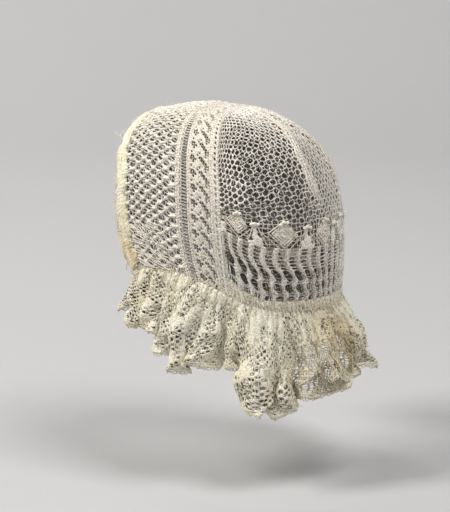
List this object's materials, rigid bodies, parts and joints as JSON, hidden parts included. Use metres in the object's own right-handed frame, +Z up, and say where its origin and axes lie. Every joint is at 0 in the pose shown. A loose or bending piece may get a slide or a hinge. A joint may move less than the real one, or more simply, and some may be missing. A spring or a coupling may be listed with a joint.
{
  "type": "knitted lace cap",
  "caption": "Close-fitting knitted lace cap in its worn form: rolled hem round the face, openwork brow and back, ribbed band over the crown and a gathered ruffle round the neck.",
  "frame": {"origin": "the middle of the crown's inside, where the cap rests on the top of a head", "axes": "+X to the wearer's left, +Y to the back of the head, +Z up as worn"},
  "size_m": [0.1977, 0.1887, 0.2273],
  "materials": {
    "hem_yarn": "matt cream cotton yarn, yellowed and a little stained",
    "brow_yarn": "matt off-white cotton yarn in openwork",
    "band_yarn": "matt off-white cotton yarn in close ribs and leaf holes",
    "net_yarn": "matt off-white cotton yarn in open net",
    "wave_yarn": "matt off-white cotton yarn in upright waved ribs",
    "nape_yarn": "matt cream cotton yarn, densely gathered",
    "ruffle_yarn": "matt cream cotton lace, yellowed towards the back"
  },
  "bodies": {
    "root": {"front_hem": "hem_yarn", "brow_panel": "brow_yarn", "crown_band": "band_yarn", "back_panel": "net_yarn", "wave_border": "wave_yarn", "nape_gather": "nape_yarn", "neck_ruffle": "ruffle_yarn"}
  },
  "joints": []
}
